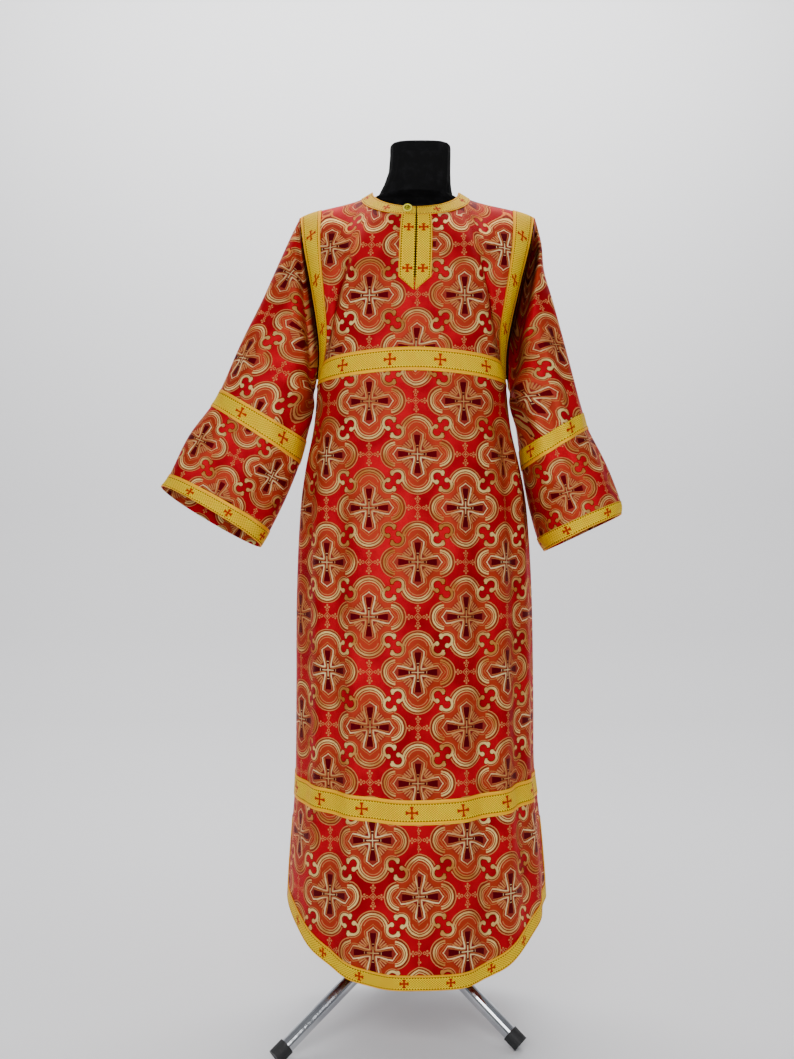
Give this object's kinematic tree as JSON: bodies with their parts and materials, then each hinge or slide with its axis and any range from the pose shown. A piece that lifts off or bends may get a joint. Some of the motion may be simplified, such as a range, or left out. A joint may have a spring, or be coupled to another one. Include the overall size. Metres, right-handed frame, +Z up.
{
  "type": "sticharion on a dress form with a tripod stand",
  "caption": "Long wide-sleeved sticharion of red and gold cross brocade with yellow galloon trims, on a black dress form and chrome tripod.",
  "frame": {"origin": "on the floor, under the centre of the whole part's box", "axes": "+Z up, the wearer's front towards -Y, +X to the right as seen from the front"},
  "size_m": [0.8234, 0.4506, 1.578],
  "materials": {
    "brocade": "satin",
    "galloon": "satin",
    "form_cloth": "matte",
    "chrome": "polished",
    "foot_rubber": "matte",
    "button": "gloss"
  },
  "bodies": {
    "root": {"armhole_band_left": "galloon", "armhole_band_right": "galloon", "back_lower": "brocade", "back_upper": "brocade", "button": "button", "chest_band_back": "galloon", "chest_band_front": "galloon", "collar_band": "galloon", "cuff_band_left": "galloon", "cuff_band_right": "galloon", "form_neck_cap": "form_cloth", "form_torso": "form_cloth", "front_lower": "brocade", "front_upper": "brocade", "hem_band_back": "galloon", "hem_band_front": "galloon", "mid_band_back": "galloon", "mid_band_front": "galloon", "placket_left": "galloon", "placket_right": "galloon", "sleeve_band_left": "galloon", "sleeve_band_right": "galloon", "sleeve_left": "brocade", "sleeve_right": "brocade", "stand_foot_1": "foot_rubber", "stand_foot_2": "foot_rubber", "stand_foot_3": "foot_rubber", "stand_hub": "chrome", "stand_leg_1": "chrome", "stand_leg_2": "chrome", "stand_leg_3": "chrome", "stand_pole": "chrome"}
  },
  "joints": []
}
